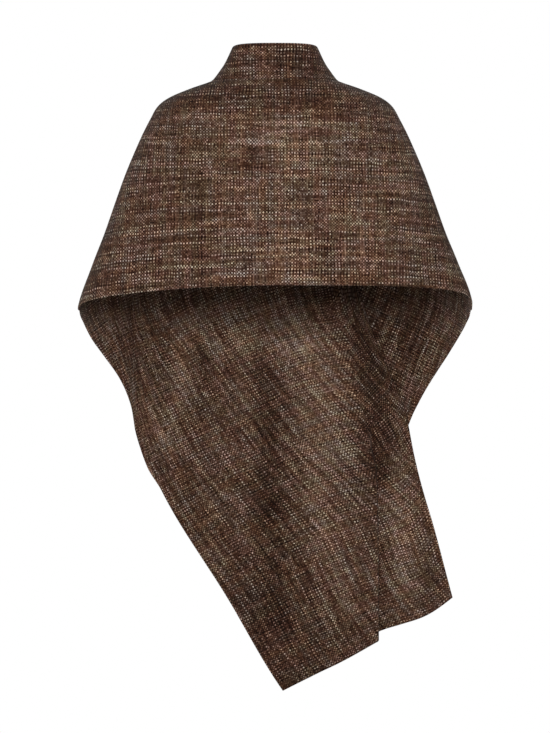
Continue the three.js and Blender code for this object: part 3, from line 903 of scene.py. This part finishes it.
def every_other(nodes, index, contrast):
    """A paler yarn, then a darker one, by turns."""
    is_odd = nodes.math("FLOORED_MODULO", index, 2.0)
    return nodes.math("MULTIPLY", nodes.math("SUBTRACT", 0.5, is_odd), 2 * contrast)


def dye_patches(nodes, weave, seed):
    """A soft patchwork from 0 to 1 of a few neighbouring wefts or warps dyed alike."""
    total = 0.0
    for i, size in enumerate((PATCH_SIZE, PATCH_SIZE[::-1])):
        scale = (1 / size[0], 1 / size[1], 1)
        place = nodes.add("ShaderNodeMapping", {0: weave, "Scale": scale, "Location": (seed, i, 0)})
        patch = nodes.noise(place.outputs[0], 1.0)
        total = nodes.math("ADD", nodes.math("MULTIPLY", patch, 0.5), total)
    return nodes.range(total, *PATCH_NOISE)


def wandering(nodes, weave):
    """How many pitches the yarns stand aside from an even weave."""
    values = {0: weave, "Scale": 1 / WANDER_LENGTH}
    place = nodes.add("ShaderNodeVectorMath", values, operation="SCALE").outputs[0]
    return nodes.math("MULTIPLY", nodes.math("SUBTRACT", nodes.noise(place), 0.5), WANDER_YARNS)


def plain_weave(nodes, weave, along, across):
    """The numbers of the warp and the weft yarn at a place, how much the weft shows there and
    the height of what shows."""
    pitch = YARN_PITCH * MM
    wander = wandering(nodes, weave)
    warp_count = nodes.sum(nodes.math("MULTIPLY", along, 1 / pitch), wander)
    weft_count = nodes.math("SUBTRACT", nodes.math("MULTIPLY", across, 1 / pitch), wander)
    warp_index = nodes.math("FLOOR", warp_count)
    weft_index = nodes.math("FLOOR", weft_count)
    off_warp = nodes.sum(warp_count, nodes.math("MULTIPLY", warp_index, -1.0), -0.5)
    off_weft = nodes.sum(weft_count, nodes.math("MULTIPLY", weft_index, -1.0), -0.5)

    def crown(off, wave_place, sign):
        """The height of a yarn over the cloth: its round back, riding over and under."""
        side = nodes.math("MULTIPLY", off, 2.0)
        back = nodes.math("SUBTRACT", 1.0, nodes.math("MULTIPLY", side, side))
        turn = nodes.math("MULTIPLY", wave_place, math.pi)
        ride = nodes.math("MULTIPLY", nodes.math("COSINE", turn), YARN_RIDE * sign)
        return nodes.math("ADD", nodes.math("MULTIPLY", back, 1 - YARN_RIDE), ride)

    weft_wave = nodes.sum(warp_count, nodes.math("MULTIPLY", weft_index, -1.0), -0.5)
    warp_wave = nodes.sum(weft_count, nodes.math("MULTIPLY", warp_index, -1.0), -0.5)
    weft_height = crown(off_weft, weft_wave, 1.0)
    warp_height = crown(off_warp, warp_wave, -1.0)
    weft_over = nodes.math("SUBTRACT", weft_height, warp_height)
    is_weft = nodes.range(weft_over, -YARN_MEETS, YARN_MEETS)
    height = nodes.math("MAXIMUM", weft_height, warp_height)
    return warp_index, weft_index, is_weft, height


def tweed_material(name, paleness):
    """Coarse plain weave of slubby, space-dyed yarns, from the weave coordinates in metres."""
    material = bpy.data.materials.new(name)
    nodes = Nodes(material)
    weave = nodes.add("ShaderNodeUVMap", uv_map="weave").outputs[0]
    split = nodes.add("ShaderNodeSeparateXYZ", {0: weave}).outputs
    along, across = split["X"], split["Y"]
    warp, weft, is_weft, height = plain_weave(nodes, weave, along, across)
    weft_base = nodes.sum(every_other(nodes, weft, ROW_CONTRAST), paleness + WEFT_PALER)
    warp_base = nodes.sum(every_other(nodes, warp, ROW_CONTRAST / 2), paleness - WEFT_PALER)
    weft_tone = yarn_tone(nodes, along, weft, WEFT_SEED, weft_base, WEFT_CONTRAST)
    warp_tone = yarn_tone(nodes, across, warp, WARP_SEED, warp_base, WARP_CONTRAST)
    # How much paler the cloth is drawn, by dyed yarns and by painted light and shade
    dye_and_painted_light = nodes.add("ShaderNodeAttribute", attribute_name="dye_and_painted_light").outputs["Fac"]
    tone = nodes.sum(nodes.math("MULTIPLY", weft_tone, is_weft),
                     nodes.math("MULTIPLY", warp_tone, nodes.math("SUBTRACT", 1.0, is_weft)), dye_and_painted_light)
    color = nodes.ramp(tone, YARN_TONES)
    redness = nodes.blend(dye_patches(nodes, weave, REDNESS_SEED), GREY_TINT, RUST_TINT)
    yellowness = nodes.blend(dye_patches(nodes, weave, YELLOWNESS_SEED), SLATE_TINT, OCHRE_TINT)
    # Painted shade in the gaps between yarns and painted light on their crowns
    painted_shade_and_light = nodes.blend(nodes.range(height, *SHADE_HEIGHTS), GAP_PAINTED_SHADE, CROWN_PAINTED_LIGHT)
    for tint in (redness, yellowness, painted_shade_and_light):
        color = nodes.blend(1.0, color, tint, "MULTIPLY")
    relief = {"Height": height, "Strength": BUMP_STRENGTH, "Distance": BUMP_DISTANCE}
    shader = nodes.add("ShaderNodeBsdfPrincipled", {
        "Base Color": color,
        "Roughness": ROUGHNESS,
        "Specular IOR Level": SPECULAR,
        "Sheen Weight": SHEEN,
        "Sheen Roughness": SHEEN_ROUGHNESS,
        "Normal": nodes.add("ShaderNodeBump", relief).outputs[0],
    })
    nodes.add("ShaderNodeOutputMaterial", {"Surface": shader.outputs[0]})
    return material


def camera_from_behind():
    data = bpy.data.cameras.new("camera")
    data.sensor_width = SENSOR
    data.lens = SENSOR * CAMERA_DISTANCE / VIEW_HEIGHT
    data.clip_end = CAMERA_REACH
    camera = bpy.data.objects.new("camera", data)
    camera.location = (0, CAMERA_DISTANCE, CAMERA_HEIGHT)
    camera.rotation_euler = (math.pi / 2, 0, math.pi)
    bpy.context.collection.objects.link(camera)
    bpy.context.scene.camera = camera


def floor():
    """A pale round floor that fades out before its rim."""
    mesh = bpy.data.meshes.new("floor")
    rim = [math.tau * i / FLOOR_SIDES for i in range(FLOOR_SIDES)]
    vertices = [(FLOOR_RADIUS * math.cos(t), FLOOR_RADIUS * math.sin(t), FLOOR_HEIGHT) for t in rim]
    mesh.from_pydata(vertices, [], [list(range(FLOOR_SIDES))])
    disc = bpy.data.objects.new("floor", mesh)
    bpy.context.collection.objects.link(disc)
    material = bpy.data.materials.new("pale_paper")
    nodes = Nodes(material)
    place = nodes.add("ShaderNodeTexCoord").outputs["Object"]
    flat = nodes.add("ShaderNodeVectorMath", {0: place, 1: (1, 1, 0)}, operation="MULTIPLY")
    distance = nodes.add("ShaderNodeVectorMath", {0: flat.outputs[0]}, operation="LENGTH")
    fade = nodes.range(distance.outputs["Value"], FLOOR_FADES_FROM, FLOOR_GONE_BY)
    paper = nodes.add("ShaderNodeBsdfDiffuse", {"Color": PALE}).outputs[0]
    clear = nodes.add("ShaderNodeBsdfTransparent").outputs[0]
    mixed = nodes.add("ShaderNodeMixShader", {0: fade, 1: paper, 2: clear}).outputs[0]
    nodes.add("ShaderNodeOutputMaterial", {"Surface": mixed})
    mesh.materials.append(material)


def soft_light(name, place, size, power):
    """A round lamp that faces the cape and doesn't show itself."""
    data = bpy.data.lights.new(name, "AREA")
    data.shape = "DISK"
    data.size = size
    data.energy = power
    light = bpy.data.objects.new(name, data)
    light.location = place
    light.visible_camera = False
    towards = Vector(LIGHT_TARGET) - Vector(place)
    light.rotation_euler = towards.to_track_quat("-Z", "Y").to_euler()
    bpy.context.collection.objects.link(light)


def daylight():
    """A white background, and softer light from all round."""
    world = bpy.data.worlds.new("world")
    bpy.context.scene.world = world
    nodes = Nodes(world)
    seen = nodes.add("ShaderNodeLightPath").outputs["Is Camera Ray"]
    white = {"Color": (1, 1, 1, 1), "Strength": BACKGROUND}
    light = {"Color": (1, 1, 1, 1), "Strength": DAYLIGHT}
    backdrop = nodes.add("ShaderNodeBackground", white).outputs[0]
    glow = nodes.add("ShaderNodeBackground", light).outputs[0]
    mixed = nodes.add("ShaderNodeMixShader", {0: seen, 1: glow, 2: backdrop}).outputs[0]
    nodes.add("ShaderNodeOutputWorld", {"Surface": mixed})
    bpy.context.scene.view_settings.view_transform = "Standard"


camera_from_behind()
floor()
daylight()
for light in LIGHTS:
    soft_light(**light)

# The collar's tweed is a darker copy of the same cloth, as painted shade
finishes = {
    "tweed": tweed_material("tweed", TWEED_PALENESS),
    "collar_tweed": tweed_material("collar_tweed", COLLAR_SHADED_PALENESS),
}


def build(name, points, outs, weave, dye_and_painted_light):
    """Makes a piece of cloth in place of the solid of the same name."""
    row = PIECES[name]
    weave = weave + [row["weave_start"], 0]
    piece = cloth_object(name + "_cloth", points, outs, weave, dye_and_painted_light, row["thickness"])
    piece.data.materials.append(finishes[row["slot"]])
    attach(piece, "root")
    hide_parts(name)


def back():
    points, outs = back_grid()
    weave = weft_round_rings(points, back_levels())
    build("back", points, outs, weave, dye_and_painted_light_at(points, BACK_DYE_AND_PAINTED_LIGHT, back_levels()))


def front_left():
    points, outs = left_front_grid()
    weave = weft_along_columns(points, LEFT_BAND_WIDTH, False, *LEFT_LEAN)
    build("front_left", points, outs, weave, dye_and_painted_light_at(points, FRONT_DYE_AND_PAINTED_LIGHT))


def front_right():
    points, outs = right_front_grid()
    weave = weft_along_columns(points, RIGHT_BAND_WIDTH, True, *RIGHT_LEAN)
    build("front_right", points, outs, weave, dye_and_painted_light_at(points, FRONT_DYE_AND_PAINTED_LIGHT))


def collar():
    points, outs = collar_grid()
    weave = weft_round_rings(points, collar_levels())
    build("collar", points, outs, weave, dye_and_painted_light_at(points, []))


back()
front_left()
front_right()
collar()
